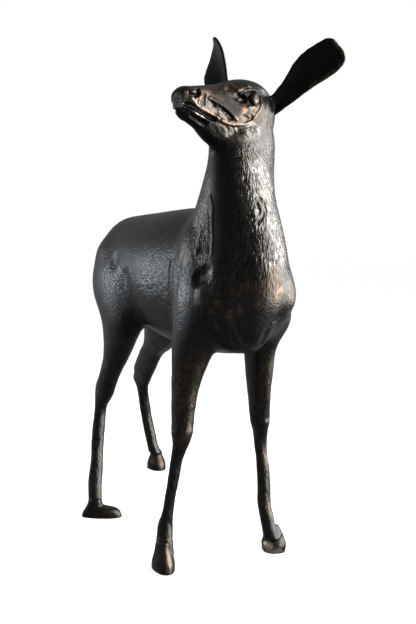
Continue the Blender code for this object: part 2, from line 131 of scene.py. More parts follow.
# Legs, shoulder or hip down to the pastern: height, middle across, front and back along Y, half width
FORE_RIGHT = (
    (0.760, -0.070, -0.370, -0.215, 0.036),
    (0.680, -0.086, -0.395, -0.205, 0.050),
    (0.600, -0.096, -0.395, -0.208, 0.050),
    (0.530, -0.100, -0.345, -0.222, 0.050),
    (0.460, -0.116, -0.328, -0.232, 0.034),
    (0.405, -0.125, -0.322, -0.244, 0.028),
    (0.355, -0.132, -0.322, -0.258, 0.0255),
    (0.330, -0.137, -0.325, -0.268, 0.026),
    (0.302, -0.142, -0.319, -0.278, 0.020),
    (0.262, -0.150, -0.305, -0.276, 0.0148),
    (0.210, -0.159, -0.303, -0.276, 0.0141),
    (0.160, -0.169, -0.302, -0.275, 0.0133),
    (0.125, -0.175, -0.304, -0.274, 0.0145),
    (0.098, -0.180, -0.307, -0.266, 0.0185),
    (0.065, -0.186, -0.320, -0.270, 0.0195),
    (0.035, -0.190, -0.335, -0.270, 0.0215),
)
FORE_LEFT = (
    (0.760, 0.070, -0.370, -0.215, 0.036),
    (0.680, 0.086, -0.395, -0.205, 0.050),
    (0.600, 0.097, -0.395, -0.208, 0.054),
    (0.530, 0.097, -0.340, -0.222, 0.038),
    (0.460, 0.097, -0.326, -0.230, 0.030),
    (0.400, 0.098, -0.316, -0.238, 0.025),
    (0.345, 0.100, -0.308, -0.246, 0.024),
    (0.328, 0.100, -0.309, -0.250, 0.023),
    (0.300, 0.100, -0.301, -0.258, 0.018),
    (0.262, 0.100, -0.298, -0.266, 0.016),
    (0.220, 0.101, -0.306, -0.274, 0.016),
    (0.175, 0.101, -0.313, -0.280, 0.017),
    (0.125, 0.099, -0.320, -0.284, 0.0165),
    (0.090, 0.099, -0.334, -0.292, 0.017),
    (0.060, 0.100, -0.346, -0.302, 0.0175),
    (0.035, 0.106, -0.362, -0.310, 0.024),
)
HIND_RIGHT = (
    (0.800, -0.0500, 0.140, 0.330, 0.040),
    (0.720, -0.0700, 0.070, 0.375, 0.056),
    (0.640, -0.0830, 0.045, 0.360, 0.058),
    (0.560, -0.0960, 0.050, 0.268, 0.048),
    (0.505, -0.1040, 0.080, 0.240, 0.038),
    (0.445, -0.1125, 0.124, 0.229, 0.0318),
    (0.398, -0.1235, 0.150, 0.234, 0.0263),
    (0.368, -0.1285, 0.163, 0.252, 0.0253),
    (0.345, -0.1325, 0.171, 0.252, 0.0238),
    (0.320, -0.1365, 0.190, 0.246, 0.0203),
    (0.298, -0.1395, 0.208, 0.242, 0.0173),
    (0.260, -0.1455, 0.205, 0.238, 0.0178),
    (0.200, -0.1555, 0.194, 0.230, 0.0186),
    (0.147, -0.1655, 0.178, 0.212, 0.0184),
    (0.091, -0.1795, 0.156, 0.196, 0.0203),
    (0.050, -0.1900, 0.132, 0.174, 0.0195),
    (0.015, -0.1930, 0.128, 0.168, 0.020),
)
HIND_LEFT = (
    (0.800, 0.050, 0.140, 0.330, 0.040),
    (0.720, 0.072, 0.110, 0.385, 0.056),
    (0.640, 0.084, 0.130, 0.400, 0.056),
    (0.560, 0.096, 0.160, 0.400, 0.048),
    (0.505, 0.106, 0.195, 0.412, 0.042),
    (0.455, 0.116, 0.272, 0.438, 0.038),
    (0.420, 0.118, 0.350, 0.475, 0.031),
    (0.388, 0.122, 0.388, 0.516, 0.026),
    (0.355, 0.128, 0.427, 0.554, 0.024),
    (0.335, 0.131, 0.450, 0.562, 0.023),
    (0.308, 0.135, 0.480, 0.580, 0.020),
    (0.283, 0.139, 0.507, 0.560, 0.017),
    (0.237, 0.146, 0.518, 0.553, 0.0173),
    (0.165, 0.158, 0.518, 0.554, 0.0183),
    (0.095, 0.170, 0.506, 0.550, 0.0178),
    (0.055, 0.176, 0.488, 0.540, 0.020),
)

# Hooves: height, toe and heel from the middle of the sole, half width
FORE_RIGHT_HOOF = (
    (0.000, 0.046, 0.032, 0.026),
    (0.018, 0.042, 0.034, 0.026),
    (0.045, 0.026, 0.028, 0.019),
    (0.070, 0.018, 0.022, 0.016),
)
FORE_LEFT_HOOF = (
    (0.000, 0.037, 0.028, 0.029),
    (0.018, 0.037, 0.031, 0.032),
    (0.040, 0.026, 0.022, 0.025),
    (0.065, 0.014, 0.010, 0.012),
)
HIND_RIGHT_HOOF = (
    (0.000, 0.060, 0.058, 0.028),
    (0.014, 0.056, 0.054, 0.027),
    (0.024, 0.044, 0.047, 0.024),
    (0.029, 0.004, 0.044, 0.021),
    (0.050, 0.000, 0.034, 0.018),
)
HIND_LEFT_HOOF = (
    (0.000, 0.040, 0.038, 0.029),
    (0.020, 0.036, 0.036, 0.029),
    (0.042, 0.018, 0.028, 0.021),
    (0.060, 0.012, 0.022, 0.018),
)

# Hooves: middle of the sole, turn of the toe from straight ahead in degrees, taper of the toe, sections
HOOVES = {
    "fore right hoof": (-0.196, -0.312, -15, 0.36, FORE_RIGHT_HOOF),
    "fore left hoof": (0.112, -0.330, -20, 0.08, FORE_LEFT_HOOF),
    "hind right hoof": (-0.178, 0.133, 54, 0.10, HIND_RIGHT_HOOF),
    "hind left hoof": (0.181, 0.508, -8, 0.20, HIND_LEFT_HOOF),
}

# Head: its own axes run from the poll to the nose, to its left, and up; the sections are listed along the
# first: place, lowest and highest point, half width, how square the oval is
POLL = Vector((0.062, -0.343, 1.115))
HEAD_TURN = 74  # degrees to the doe's right of straight ahead
HEAD = (
    (-0.018, -0.060, 0.015, 0.020, 2.0),
    (-0.006, -0.080, 0.034, 0.034, 2.0),
    (0.015, -0.092, 0.049, 0.046, 2.1),
    (0.045, -0.098, 0.062, 0.056, 2.1),
    (0.085, -0.100, 0.065, 0.059, 2.1),
    (0.125, -0.100, 0.058, 0.053, 2.1),
    (0.165, -0.101, 0.046, 0.043, 2.1),
    (0.193, -0.089, 0.041, 0.036, 2.1),
    (0.222, -0.064, 0.037, 0.031, 2.2),
    (0.250, -0.049, 0.033, 0.029, 2.3),
    (0.270, -0.042, 0.031, 0.026, 2.3),
    (0.286, -0.026, 0.022, 0.020, 2.2),
)
HEAD_FRAME = Matrix.Translation(POLL) @ Matrix.Rotation(-radians(90 + HEAD_TURN), 4, "Z")

# An ear: place along it as a share of its length, reach of its upper and lower edge, curl in degrees
EAR = (
    (-0.10, 0.018, 0.018, 120),
    (0.06, 0.018, 0.021, 110),
    (0.20, 0.023, 0.025, 95),
    (0.34, 0.033, 0.026, 78),
    (0.50, 0.045, 0.029, 62),
    (0.66, 0.049, 0.034, 50),
    (0.80, 0.045, 0.037, 40),
    (0.91, 0.041, 0.034, 32),
    (0.975, 0.033, 0.024, 25),
    (1.00, 0.020, 0.012, 20),
)

# Ears in the head's axes: root, direction, way the hollow faces, twist from root to tip in degrees
EARS = {
    "left ear": ((0.020, 0.044, 0.003), (-0.250, 0.780, 0.585), (1, 1, 0), 0),
    "right ear": ((0.086, -0.054, 0.004), (-0.320, -0.480, 0.850), (1, 0.5, 0), -66),
}

# The lengths in the tables from here on are millimetres. Forms and strokes are pressed into the skin
# (negative depth) or raised from it: a line of places, a radius, a depth. Those of the face are in the
# head's own axes for its left side, and are mirrored to the right.
EYE, EYE_RADIUS = (93.5, 48.6, 15), 18
FACE_FORMS = {
    "eye socket": (((126, 49, 10), (100, 53, 13)), 24, -8.5),
    "hollow before the brow": (((152, 34, 31), (143, 42, 18)), 16, -5),
    "sunk plate": (((222, 33, 1), (205, 36, -12), (186, 40, -22), (162, 45, -32)), 12, -3),
    "dish of the cheek": (((122, 53, -30), (108, 56, -31)), 13, -2.2),
    "lobe of the upper lip": (((264, 30, -2), (250, 31, -12)), 12, 3),
    "corner of the jaw": (((115, 54, -62), (85, 56, -55)), 22, 3),
    "fold behind the cheek": (((52, 58, 30), (47, 62, -20), (50, 58, -60)), 12, -1.6),
}
FACE_STROKES = {
    "front corner of the eye": (((127, 47, 12), (117, 48, 12)), 11, -9),
    "edge under the muzzle": (((216, 35, 6), (196, 39, 0), (180, 43, -9), (168, 47, -17), (156, 48, -27),
        (142, 51, -38)), 5.8, 3.6),
    "shadow under that edge": (((182, 41, -18), (168, 44, -26), (154, 47, -36)), 5, -3),
    "upper lip": (((270, 27, 6), (267, 31, -2), (257, 31, -10), (245, 32, -18), (230, 32, -25),
        (216, 34, -31), (205, 36, -34), (192, 39, -36)), 6, 3.6),
    "knots at the corner of the mouth": (((199, 36, -38), (184, 40, -41)), 6, 2.2),
    "ring of the cheek": (((182, 41, -42), (162, 45, -48), (139, 48, -48), (117, 53, -45), (101, 56, -37),
        (89, 61, -25), (77, 63, -11), (71, 64, 3)), 5.8, 3.4),
    "rim over the eye": (((71, 64, 3), (70, 61, 17), (75, 57, 32), (91, 53, 43), (104, 49, 47)), 7.5, 2),
    "brow": (((104, 49, 47), (119, 48, 41), (133, 45, 31)), 8, 1.8),
    "front edge of the socket": (((136, 51, -2), (139, 50, 10), (131, 48, 20)), 5, 3.4),
    "lower lid": (((110, 57, -4), (98, 59, -5), (88, 60, -3)), 4.6, 1.8),
    "rear lid": (((88, 60, -3), (77, 61, 5), (72, 59, 18)), 4.2, 2.2),
    "upper lid": (((129, 46, 22), (113, 48, 31), (98, 50, 34.5), (83, 54, 32)), 4.6, 3),
    "crease of the muzzle": (((227, 32, 15), (230, 32, 4), (229, 31, -6)), 5.5, -3.6),
    "wing of the nostril": (((238, 27, 28), (238, 29, 14), (246, 30, 3), (258, 29, 0)), 6.2, 3.2),
    "nostril": (((270, 24, 10), (258, 27, 8), (248, 27, 13), (246, 24, 22)), 5.2, -6.6),
    "curl in the nostril": (((264, 22, 15), (256, 22, 16)), 6, 3.2),
    "mouth": (((281, 17, -11), (270, 24, -14), (262, 27, -17), (247, 28, -23), (229, 29, -29),
        (214, 31, -35), (201, 35, -40)), 6.4, -9),
    "lower lip": (((262, 22, -23), (250, 23, -27.5), (238, 24, -32), (224, 25, -38), (212, 27, -44)), 6, 3),
    "shadow under the lower lip": (((258, 17, -35), (240, 18, -43), (220, 22, -52)), 7, -2.6),
    "crease of the chin": (((288, 0, -21), (283, 11, -22), (273, 16, -22)), 5.2, -4.2),
    "nick in the lip": (((251, 33, 0), (251, 33, -10)), 3.4, -2.2),
}
BODY_STROKES = {
    "step behind the right arm": (((-124, -205, 745), (-132, -212, 655), (-138, -226, 595),
        (-140, -232, 540)), 14, -1.8),
    "rear edge of the right arm": (((-124, -228, 745), (-133, -236, 655), (-140, -250, 595),
        (-142, -256, 540)), 20, 1.6),
    "cords between neck and shoulder": (((-104, -314, 850), (-112, -280, 780), (-121, -262, 730)),
        14, -1.8),
    "second of those cords": (((-103, -335, 830), (-109, -330, 775)), 10, 2),
    "third of those cords": (((-103, -352, 826), (-101, -372, 775)), 10, -1.2),
    "hollow above the right point of the shoulder": (((-116, -372, 728), (-122, -350, 712)), 26, -6),
    "right point of the shoulder": (((-124, -372, 684),), 26, 3),
    "cord down the right side of the neck": (((-103, -383, 905), (-103, -389, 885), (-101, -384, 840),
        (-100, -380, 770)), 5, 1.6),
    "groove beside that cord": (((-102, -373, 905), (-104, -374, 840), (-104, -370, 780)), 5.5, -1.2),
    "fold under the breast": (((84, -440, 632), (46, -456, 626), (18, -462, 612), (4, -459, 590),
        (2, -440, 564)), 16, -4),
    "dimple on the haunch": (((-118, 155, 733),), 34, -3.4),
    "boss below the dimple": (((-122, 130, 700), (-126, 100, 680)), 26, 2),
    "fold of the flank": (((-120, 66, 690), (-124, 30, 650), (-112, 0, 592)), 34, -4.2),
    "right half of the leaf mark": (((-26, -474, 900), (-16, -478, 886), (-14, -478, 868),
        (-34, -476, 842)), 6, -2.6),
    "left half of the leaf mark": (((-32, -474, 886), (-30, -476, 864)), 6, -2.6),
    "pits in the breast": (((3, -486, 750), (10, -485, 754)), 8.5, -2.6),
    "more pits": (((24, -482, 764),), 7, -2.2),
    "top edge of the fore left hoof": (((78, -325, 30), (84, -346, 27), (105, -360, 29), (126, -352, 38)),
        7, -3),
    "tuck at the left of the neck": (((0, -440, 925), (14, -432, 918)), 6, -3),
}

# Rough cast places on the right side, mirrored to the left: middle, radius
ROUGH_PATCHES = (
    ((-134, -290, 682), 60),
    ((-128, -80, 712), 80),
    ((-126, 110, 680), 46),
    ((-118, 190, 700), 34),
)

# Tones laid on the skin: a line of places, a radius, how much bronze, bare metal, and soot with painted
# shade.
# An empty line stands for the line of the form or stroke of the same name.
FACE_TONES = {
    "muzzle": (((236, 20, 26), (190, 26, 30), (150, 34, 28)), 34, 0.27, 0.02, 0),
    # painted shade on the facet in the valley before the eye
    "facet before the eye": (((196, 36, 10), (165, 44, -2), (148, 49, -12)), 26, 0.12, 0, 0.96),
    "edge under the muzzle": ((), 6, 0.55, 0, 0),
    "upper lip": ((), 6.5, 0.6, 0.15, 0),
    "lobe of the upper lip": (((264, 30, -1), (252, 31, -10)), 12, 0.5, 0.3, 0),
    "ring of the cheek": ((), 6.4, 0.28, 0.05, 0),
    "wing of the nostril": ((), 5.5, 0.45, 0, 0),
    "tear duct": (((121, 53, -2), (126, 53, -14)), 11, 0.45, 0, 0),
    "brow": ((), 7, 0.05, 0, 0),
    "front edge of the socket": ((), 5, 0.45, 0.1, 0),
    "glints before the brow": (((158, 34, 26), (152, 36, 18)), 4.5, 1.0, 0, 0),
    "eyeball": ((EYE, (92, 64, 13)), 15, 0.14, 0.05, 0),
    # painted highlight on the eyeball, in bronze and bare metal
    "worn place on the eyeball": (((88.5, 68, 8),), 7, 0.6, 0.4, 0),
    "cheek": (((104, 57, -20), (94, 60, -6)), 16, 0.15, 0.12, 0),
    "sunk plate": ((), 13, 0.06, 0.14, 0),
    "dish of the cheek": ((), 12, 0.05, 0.08, 0),
    "jaw": (((150, 42, -72), (116, 53, -64), (98, 56, -56)), 26, 0.04, 0.2, 0),
    # painted shade behind the jaw, where it meets the neck
    "back of the jaw": (((50, 56, -60), (60, 54, -85)), 24, 0, 0, 0.5),
    # painted highlight: the lower lip laid in bare metal
    "lower lip": (FACE_STROKES["lower lip"][0][1:5], 6.8, 0.1, 1.0, 0),
    "nose pad": (((292, 0, 2), (285, 8, -6)), 18, 0, 0.6, 0),
    # painted shade from here on: in the mouth, under the lower lip, on the side and underside of the jaw, in
    # the nostril, the eye's front corner, the hollow before the brow, round the eyeball and in the crease of
    # the muzzle
    "mouth": ((), 4.6, 0, 0, 1.0),
    "shadow under the lower lip": ((), 7.5, 0, 0, 0.9),
    "dark side of the jaw": (((218, 22, -56), (196, 22, -78), (175, 18, -94)), 26, 0, 0, 1.0),
    "nostril": ((), 5, 0, 0, 1.0),
    "front corner of the eye": (((127, 48, 12), (114, 49, 14)), 11, 0, 0, 1.0),
    "hollow before the brow": ((), 18, 0, 0, 0.6),
    "ring round the eyeball": (((110, 49, 28), (96, 50, 32), (80, 54, 27), (75, 58, 14), (80, 60, 3)),
        5, 0, 0, 0.9),
    "crease of the muzzle": ((), 5, 0, 0, 0.9),
    "underside of the jaw": (((270, 0, -50), (200, 0, -80), (120, 0, -100)), 32, 0, 0, 0.9),
}
BODY_TONES = {
    "silvered front of the neck": (((-24, -460, 930), (-8, -478, 870), (10, -482, 790)), 66, 0, 0.32, 0),
    "breast": (((-60, -460, 640), (-20, -470, 600)), 90, 0.03, 0, 0),
    "fold under the breast": (((60, -458, 626), (84, -444, 628)), 12, 0.5, 0, 0),
    # painted shadow of the breast on the arm behind it, and painted shade under the breast
    "arm behind the breast": (((40, -440, 600), (70, -420, 580), (60, -410, 545)), 46, 0, 0, 1.0),
    "underside of the breast": (((-120, -400, 560), (-50, -430, 550)), 60, 0, 0, 0.2),
    # painted highlight on the right point of the shoulder, in bronze and bare metal
    "right point of the shoulder": (((-130, -360, 660),), 20, 0.1, 0.4, 0),
    # painted glints in bare metal above and before the hollow
    "worn place above that hollow": (((-110, -350, 768), (-114, -350, 752)), 14, 0, 1.0, 0),
    "worn place before that hollow": (((-108, -378, 722), (-106, -386, 712)), 12, 0, 0.8, 0),
    # painted shade in the hollow over the point of the shoulder and in the groove of the leaf mark
    "hollow above the right point of the shoulder": ((), 26, 0, 0, 0.8),
    "right half of the leaf mark": ((), 4, 0, 0, 0.6),
    "front of the right foreleg": (((-120, -345, 520), (-135, -325, 340)), 30, 0.05, 0, 0),
    "right knee": (((-140, -325, 335), (-148, -318, 320)), 22, 0.12, 0, 0),
    "front of the left foreleg": (((80, -400, 480), (100, -370, 300), (110, -360, 120)), 30, 0.02, 0, 0),
    "fore right hoof": (((-190, -350, 70), (-196, -380, 20)), 30, 0.03, 0, 0),
    "hind left hoof": (((176, 478, 30),), 20, 0.15, 0, 0),
    "hind right hoof": (((-150, 100, 20),), 40, 0.05, 0, 0),
}

# Where the hooves are rubbed to tan metal: a line of places, a radius and a share
RUBBED_PLACES = {
    "top of the fore left hoof": (((80, -338, 20), (85, -352, 19)), 12.5, 0.8),
    "edge of the fore left hoof": (((81, -348, 4), (92, -361, 4), (104, -366, 5)), 10, 0.5),
    "ridge down the fore right hoof": (((-199, -336, 50), (-200, -346, 30), (-200, -354, 12)), 11, 0.05),
    "tip of the fore right hoof": (((-200, -358, 6),), 9, 0.08),
}
FLANK_SHADE = ((-122, 60, 660), (-120, 64, 572))  # where painted shade darkens the fold of the flank


def smooth_rows(rows, steps):
    """The listed rows with steps - 1 more between each pair, on a Catmull-Rom curve through all of them."""
    table = np.array(rows, float)
    padded = np.vstack([2 * table[0] - table[1], table, 2 * table[-1] - table[-2]])
    out = []
    for i in range(len(table) - 1):
        a, b, c, d = padded[i : i + 4]
        for k in range(steps):
            t = k / steps
            bend = (2 * a - 5 * b + 4 * c - d) * t**2 + (3 * b - a - 3 * c + d) * t**3
            out.append(b + 0.5 * ((c - a) * t + bend))
    out.append(table[-1])
    return out


def oval(square):
    """Points around a unit oval: a circle at 2, with flatter sides above that."""
    points = []
    for k in range(RING_POINTS):
        angle = 2 * pi * k / RING_POINTS
        c, s = cos(angle), sin(angle)
        points.append((copysign(abs(c) ** (2 / square), c), copysign(abs(s) ** (2 / square), s)))
    return points


def new_object(name, data):
    """An object for a mesh, a light or a camera, in the scene."""
    obj = bpy.data.objects.new(name, data)
    bpy.context.scene.collection.objects.link(obj)
    return obj


def made_from(bm, name):
    """An object from the points and faces gathered so far."""
    mesh = bpy.data.meshes.new(name)
    bm.to_mesh(mesh)
    bm.free()
    return new_object(name, mesh)


def skin_over(name, rings):
    """A closed tube over rings of points, one skin from the first ring to the last."""
    bm = bmesh.new()
    loops = [[bm.verts.new(p) for p in ring] for ring in rings]
    for low, high in zip(loops, loops[1:]):
        for k in range(len(low)):
            n = (k + 1) % len(low)
            bm.faces.new((low[k], low[n], high[n], high[k]))
    bm.faces.new(loops[0])
    bm.faces.new(loops[-1])
    bmesh.ops.recalc_face_normals(bm, faces=bm.faces)
    return made_from(bm, name)


def trunk():
    """Sections across Y, a little narrower along the back than at the belly."""
    narrow = 0.12
    rings = []
    for y, low, high, half, square in smooth_rows(TRUNK, ROW_STEPS):
        mid, tall = (low + high) / 2, (high - low) / 2
        rings.append([Vector((half * c * (1 - narrow * s), y, mid + tall * s)) for c, s in oval(square)])
    return skin_over("trunk", rings)


def neck():
    """Level sections, turned more and more to the right on the way up."""
    rings = []
    for z, mid_x, mid_y, deep, half, turn in smooth_rows(NECK, ROW_STEPS):
        spin = Matrix.Rotation(-radians(turn), 3, "Z")
        centre = Vector((mid_x, mid_y, z))
        rings.append([centre + spin @ Vector((half * c, deep * s, 0)) for c, s in oval(LIMB_SQUARE)])
    return skin_over("neck", rings)


def leg(name, sections):
    """Level sections from the body down to the pastern."""
    rings = []
    for z, x, front, back, half in smooth_rows(sections, ROW_STEPS):
        mid, deep = (front + back) / 2, (back - front) / 2
        rings.append([Vector((x + half * c, mid + deep * s, z)) for c, s in oval(LIMB_SQUARE)])
    return skin_over(name, rings)


def head():
    """Sections across the head's own X axis, wider at the brow than at the jaw."""
    widen = 0.18
    rings = []
    for x, low, high, half, square in smooth_rows(HEAD, ROW_STEPS):
        mid, tall = (low + high) / 2, (high - low) / 2
        section = [Vector((x, half * c * (1 + widen * s), mid + tall * s)) for c, s in oval(square)]
        rings.append([HEAD_FRAME @ point for point in section])
    return skin_over("head", rings)


def ball(name, centre, radii, turn):
    """An oval lump of muscle or bone."""
    bpy.ops.mesh.primitive_uv_sphere_add(segments=24, ring_count=14, radius=1, location=centre)
    obj = bpy.context.object
    obj.name = name
    obj.scale = radii
    obj.rotation_euler = [radians(a) for a in turn]
    return obj


def ear_sheet(root, along, facing, twist):
    """Rows of places over a cupped leaf, from its lower edge to its upper one, root row first."""
    turned = HEAD_FRAME.to_3x3()
    base = HEAD_FRAME @ Vector(root)
    along = (turned @ Vector(along)).normalized()
    facing = turned @ Vector(facing)
    facing = (facing - facing.dot(along) * along).normalized()
    grid = []
    for t, upper, lower, curl in smooth_rows(EAR, EAR_STEPS):
        half, shift = (upper + lower) / 2, (upper - lower) / 2
        roll = radians(curl) / 2 + 0.2
        out = Matrix.Rotation(radians(twist * t * t), 3, along) @ facing
        side = out.cross(along)
        row = []
        for j in range(EAR_ACROSS + 1):
            a = (2 * j / EAR_ACROSS - 1) * roll
            radius = half / sin(min(roll, pi / 2))
            place = base + along * (EAR_LENGTH * t) + side * (shift + radius * sin(a))
            row.append(place - out * radius * (cos(a) - cos(roll)))
        grid.append(row)
    return grid


def ear(name, root, along, facing, twist):
    """A cupped leaf, its hollow towards facing at the root and turned away by the twist at the tip."""
    bm = bmesh.new()
    grid = [[bm.verts.new(place) for place in row] for row in ear_sheet(root, along, facing, twist)]
    for low, high in zip(grid, grid[1:]):
        for j in range(len(low) - 1):
            bm.faces.new((low[j], low[j + 1], high[j + 1], high[j]))
    obj = made_from(bm, name)
    thick = obj.modifiers.new("thick", "SOLIDIFY")
    thick.thickness = EAR_THICKNESS
    thick.offset = 0
    return obj


def hoof(name, x, y, turn, taper, rows):
    """A hoof from its sole up, narrowed towards the toe by the taper."""
    spin = Matrix.Rotation(radians(turn), 3, "Z")
    rings = []
    for z, toe, heel, half in ((-SOLE_BELOW, *rows[0][1:]), *rows):
        mid, deep = (heel - toe) / 2, (heel + toe) / 2
        ring = []
        for c, s in oval(HOOF_SQUARE):
            ring.append(Vector((x, y, z)) + spin @ Vector((half * c * (1 + taper * s), mid + deep * s, 0)))
        rings.append(ring)
    return skin_over(name, rings)


def fused(pieces):
    """All the pieces as one skin, run together softly over the trunk, crisper on head and lower legs."""
    bpy.ops.object.select_all(action="DESELECT")
    for piece in pieces:
        piece.select_set(True)
    bpy.context.view_layer.objects.active = pieces[0]
    bpy.ops.object.convert(target="MESH")
    bpy.ops.object.join()
    bpy.ops.object.transform_apply(location=True, rotation=True, scale=True)
    doe = bpy.context.object
    remesh = doe.modifiers.new("one skin", "REMESH")
    remesh.mode = "VOXEL"
    remesh.voxel_size = SKIN_VOXEL
    bpy.ops.object.modifier_apply(modifier=remesh.name)
    soft = doe.vertex_groups.new(name="soft")
    for vert in doe.data.vertices:
        sets_in = (vert.co.z - BLEND_FROM) / (BLEND_FULL - BLEND_FROM)
        dies_out = (BLEND_ENDS - vert.co.z) / (BLEND_ENDS - BLEND_FADES)
        soft.add([vert.index], max(0, min(1, sets_in, dies_out)), "REPLACE")
    blend = doe.modifiers.new("muscles run together", "SMOOTH")
    blend.factor = 0.7
    blend.iterations = BLEND
    blend.vertex_group = "soft"
    soften = doe.modifiers.new("soften", "SMOOTH")
    soften.factor = 0.5
    soften.iterations = SOFTEN
    bpy.ops.object.modifier_apply(modifier=blend.name)
    bpy.ops.object.modifier_apply(modifier=soften.name)
    doe.vertex_groups.clear()
    verts, _ = read_skin(doe.data)
    local = head_places(verts)
    ears = np.maximum(ramp(np.abs(local[:, 1]), 0.064, 0.074), ramp(local[:, 2], 0.066, 0.074))
    ears = ears * (verts[:, 2] > 1.10)
    calmed(doe, 1 - ramp(verts[:, 2], 0.085, 0.115), HOOF_ROUNDS)
    calmed(doe, ears, EAR_ROUNDS)
    return doe


def calmed(obj, share, rounds):
    """The skin smoothed where the share says."""
    group = obj.vertex_groups.new(name="calmed")
    for index in np.nonzero(share > 0)[0]:
        group.add([int(index)], float(share[index]), "REPLACE")
    smooth = obj.modifiers.new("calmed", "SMOOTH")
    smooth.factor = 0.5
    smooth.iterations = rounds
    smooth.vertex_group = group.name
    bpy.context.view_layer.objects.active = obj
    bpy.ops.object.modifier_apply(modifier=smooth.name)
    obj.vertex_groups.clear()


def read_skin(mesh):
    """Places and normals of the skin's points."""
    count = len(mesh.vertices)
    verts, normals = np.empty(count * 3), np.empty(count * 3)
    mesh.vertices.foreach_get("co", verts)
    mesh.vertices.foreach_get("normal", normals)
    return verts.reshape(-1, 3), normals.reshape(-1, 3)


def write_skin(mesh, verts):
    """The skin's points moved to their new places."""
    mesh.vertices.foreach_set("co", verts.ravel())
    mesh.update()


def look_up(verts):
    """A tree of the skin's points."""
    tree = KDTree(len(verts))
    for i, place in enumerate(verts):
        tree.insert(place, i)
    tree.balance()
    return tree


def laid_out(line, on_face):
    """A table's line in metres and the doe's axes; one of the face comes twice, left side and right side."""
    places = [[value / 1000 for value in place] for place in line]
    if not on_face:
        return [places]
    return [[HEAD_FRAME @ Vector((x, y * side, z)) for x, y, z in places] for side in (1, -1)]


def nearness(tree, count, line, radius, laid=True):
    """1 on a line laid on the skin, down to 0 at the radius, with a round profile."""
    near = np.full(count, radius)
    gap = max((Vector(b) - Vector(a)).length for a, b in zip(line, line[1:] or line))
    places = smooth_rows(line, ceil(3 * gap / radius) + 1) if len(line) > 1 else line
    for place in places:
        at = tree.find(place)[0] if laid else Vector(place)
        for _, index, distance in tree.find_range(at, radius):
            near[index] = min(near[index], distance)
    return 1 - (near / radius) ** 2


def strike(mesh, strokes, on_face):
    """Press or raise every stroke of a table along the skin's own normals."""
    verts, normals = read_skin(mesh)
    tree = look_up(verts)
    height = np.zeros(len(verts))
    for line, radius, depth in strokes.values():
        for places in laid_out(line, on_face):
            height += depth / 1000 * nearness(tree, len(verts), places, radius / 1000) ** 1.5
    write_skin(mesh, verts + height[:, None] * normals)


def set_eyes(mesh):
    """Round eyeballs that stand out of their sockets."""
    verts, _ = read_skin(mesh)
    radius = EYE_RADIUS / 1000
    for (centre,), side in zip(laid_out([EYE], True), (1, -1)):
        outward = HEAD_FRAME.to_3x3() @ Vector((0.10, side, 0.05))
        away = verts - np.array(centre)
        reach = np.linalg.norm(away, axis=1)
        turned_out = (away @ np.array(outward.normalized())) / np.maximum(reach, 1e-9)
        share = ramp(turned_out, 0.20, 0.45) * (reach < 2.0 * radius)
        verts += away * (share * (radius / np.maximum(reach, 1e-9) - 1))[:, None]
    write_skin(mesh, verts)


def ramp(value, low, high):
    """0 below low, 1 above high, smooth between."""
    t = np.clip((value - low) / (high - low), 0, 1)
    return t * t * (3 - 2 * t)


def lattice(cell, seed):
    """A fixed random value in -1..1 for each whole-number cell."""
    mixed = cell[:, 0] * 374761393 + cell[:, 1] * 668265263 + cell[:, 2] * 2147483647 + seed * 974634777
    mixed = (mixed ^ (mixed >> 13)) * 1274126177
    mixed = mixed ^ (mixed >> 16)
    return (mixed & 0xFFFF) / 32767.5 - 1


def noise(places, seed):
    """Smooth noise in -1..1 with cells one unit across."""
    base = np.floor(places).astype(np.int64)
    t = places - base
    t = t * t * t * (t * (t * 6 - 15) + 10)
    total = np.zeros(len(places))
    for corner in range(8):
        step = np.array([corner & 1, corner >> 1 & 1, corner >> 2 & 1])
        share = np.prod(np.where(step == 1, t, 1 - t), axis=1)
        total += share * lattice(base + step, seed)
    return total


def strands(places, size, seed, sway=0.006):
    """Overlapping locks whose cells measure size along X, Y and Z, wandering a little sideways."""
    drift = np.stack([noise(places / 0.045, seed + k) for k in range(3)], axis=1)
    bent = places + sway * drift
    coarse = noise(bent / np.array(size), seed + 5)
    fine = noise(bent / (0.6 * np.array(size)), seed + 6)
    return 0.6 * (1 - 2.2 * np.abs(coarse)) + 0.4 * (1 - 2.2 * np.abs(fine))


def pebbles(places, size, seed):
    """Rounded lumps about one size across."""
    return 0.7 * noise(places / size, seed) + 0.5 * noise(places / (0.57 * size), seed + 1)


def sleek(verts):
    """The smooth channel down the right side of the neck, and the speckled strip behind it."""
    side = ramp(-verts[:, 0], 0.070, 0.088) * ramp(verts[:, 2], 0.70, 0.76)
    ahead = ramp(-verts[:, 1], 0.372, 0.386)
    return side * ahead, side * (1 - ahead)


def rough_cast(verts):
    """How far each point is in one of the rough patches."""
    rough = np.zeros(len(verts))
    mirrored = verts * np.array((-1, 1, 1))
    wobble = 0.5 * noise(verts / 0.030, 83)
    for middle, radius in ROUGH_PATCHES:
        middle, radius = np.array(middle) / 1000, radius / 1000
        for places in (verts, mirrored):
            away = np.linalg.norm(places - middle, axis=1) + radius * wobble
            rough = np.maximum(rough, 1 - ramp(away, 0.10 * radius, 1.3 * radius))
    return rough


def head_places(verts):
    """The same places in the head's own axes."""
    return (verts - np.array(POLL)) @ np.array(HEAD_FRAME.to_3x3())


def regions(verts):
    """How far each point belongs to the head, the neck and upper breast, the trunk and the legs, 0 to 1."""
    z = verts[:, 2]
    on_head = ramp(z, 1.01, 1.06) * ramp(head_places(verts)[:, 0], -0.03, 0.02)
    on_head = np.maximum(on_head, ramp(z, 1.15, 1.17))
    neck = ramp(-verts[:, 1], 0.24, 0.32) * ramp(z, 0.60, 0.72) * (1 - on_head)
    legs = 1 - ramp(z, 0.50, 0.60)
    trunk = np.clip(1 - neck - legs - on_head, 0, 1)
    return on_head, neck, trunk, legs


